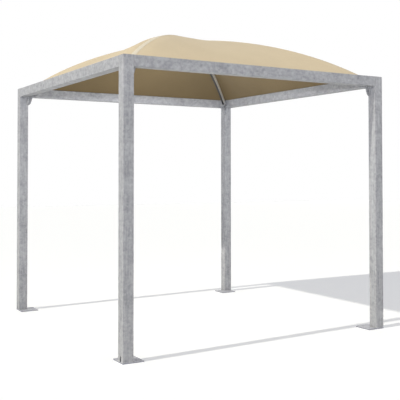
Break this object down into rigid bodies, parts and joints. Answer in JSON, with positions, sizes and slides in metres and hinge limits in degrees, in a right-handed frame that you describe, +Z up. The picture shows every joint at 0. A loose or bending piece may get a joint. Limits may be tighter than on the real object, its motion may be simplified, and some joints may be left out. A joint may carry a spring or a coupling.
{
  "type": "open-frame gazebo with a fabric canopy",
  "caption": "Square open gazebo: steel tube posts on base plates, beams between them, and a stretched fabric canopy domed over crossing diagonal hoops.",
  "frame": {"origin": "on the ground, at the middle of the square plan", "axes": "+Z up; +X to the right and +Y to the back, as seen from the front, which is -Y"},
  "size_m": [3, 3, 3.1223],
  "materials": {
    "galvanised_tube": "hot-dip galvanised, matt with a faint spangle",
    "galvanised_plate": "hot-dip galvanised plate, matt",
    "hoop_tube": "galvanised bent tube, matt",
    "canopy_fabric": "coated woven polyester, beige, matt"
  },
  "bodies": {
    "root": {"post_front_left": "galvanised_tube", "post_cap_front_left": "galvanised_plate", "base_plate_front_left": "galvanised_plate", "gusset_front_left_cross_bay": "galvanised_plate", "gusset_front_left_side_bay": "galvanised_plate", "hoop_foot_plate_front_left": "galvanised_plate", "post_front_right": "galvanised_tube", "post_cap_front_right": "galvanised_plate", "base_plate_front_right": "galvanised_plate", "gusset_front_right_cross_bay": "galvanised_plate", "gusset_front_right_side_bay": "galvanised_plate", "hoop_foot_plate_front_right": "galvanised_plate", "post_back_left": "galvanised_tube", "post_cap_back_left": "galvanised_plate", "base_plate_back_left": "galvanised_plate", "gusset_back_left_cross_bay": "galvanised_plate", "gusset_back_left_side_bay": "galvanised_plate", "hoop_foot_plate_back_left": "galvanised_plate", "post_back_right": "galvanised_tube", "post_cap_back_right": "galvanised_plate", "base_plate_back_right": "galvanised_plate", "gusset_back_right_cross_bay": "galvanised_plate", "gusset_back_right_side_bay": "galvanised_plate", "hoop_foot_plate_back_right": "galvanised_plate", "beam_front": "galvanised_tube", "hem_strip_front": "galvanised_plate", "beam_right": "galvanised_tube", "hem_strip_right": "galvanised_plate", "beam_back": "galvanised_tube", "hem_strip_back": "galvanised_plate", "beam_left": "galvanised_tube", "hem_strip_left": "galvanised_plate", "hoop_whole": "hoop_tube", "hoop_half_front_right": "hoop_tube", "hoop_half_back_left": "hoop_tube", "canopy": "canopy_fabric"}
  },
  "joints": []
}
